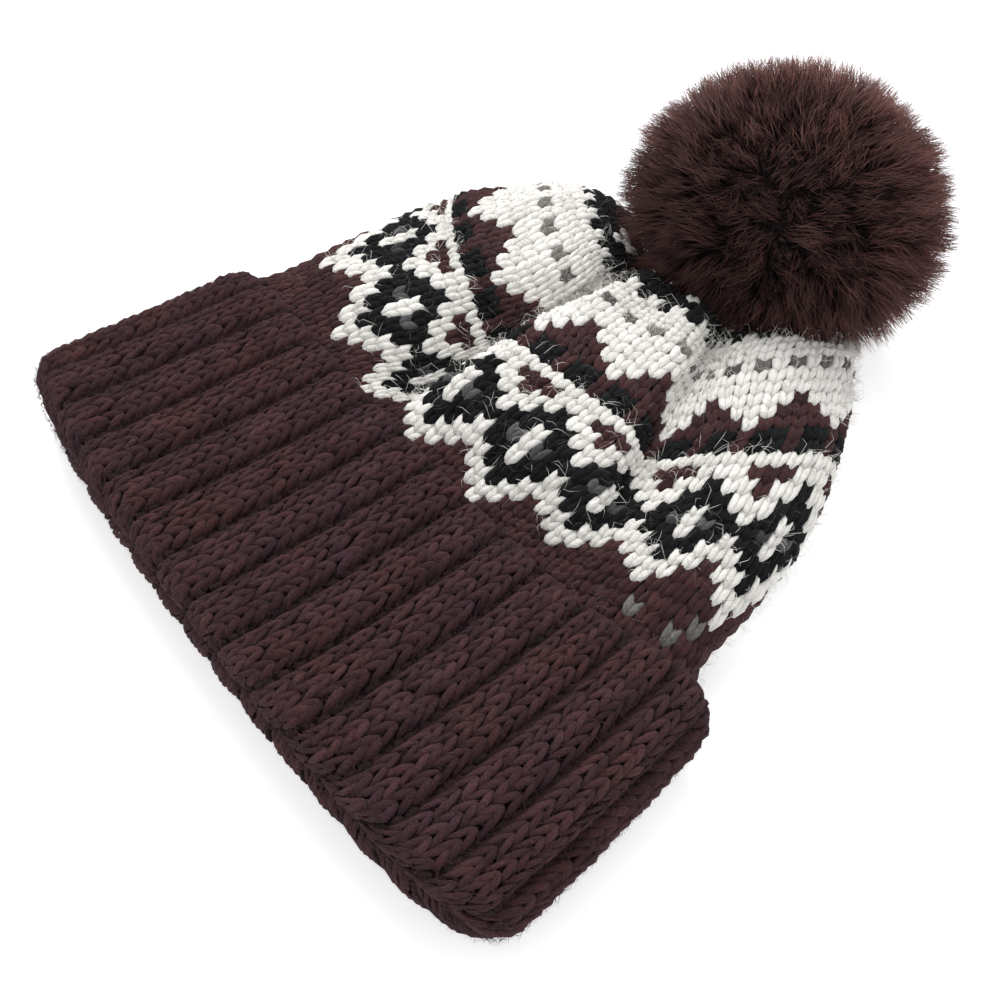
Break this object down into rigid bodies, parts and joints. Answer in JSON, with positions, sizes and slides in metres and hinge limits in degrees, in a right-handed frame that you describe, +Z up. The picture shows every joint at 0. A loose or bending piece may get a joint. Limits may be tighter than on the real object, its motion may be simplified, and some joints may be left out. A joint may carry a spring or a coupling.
{
  "type": "beanie",
  "caption": "Knitted winter beanie lying flat, with a turned-up ribbed cuff, a crown in a stranded diamond pattern and a round fur pompom.",
  "frame": {"origin": "middle of the bounding box on the plane the beanie lies on", "axes": "+Y from the cuff's fold towards the pompom, +Z up from the face it lies on, +X across the cuff"},
  "size_m": [0.25, 0.3394, 0.1043],
  "materials": {
    "ribbed_wool": "matte",
    "patterned_wool": "matte",
    "pompom_fur": "matte"
  },
  "bodies": {
    "root": {"cuff": "ribbed_wool", "crown": "patterned_wool", "pompom": "pompom_fur"}
  },
  "joints": []
}
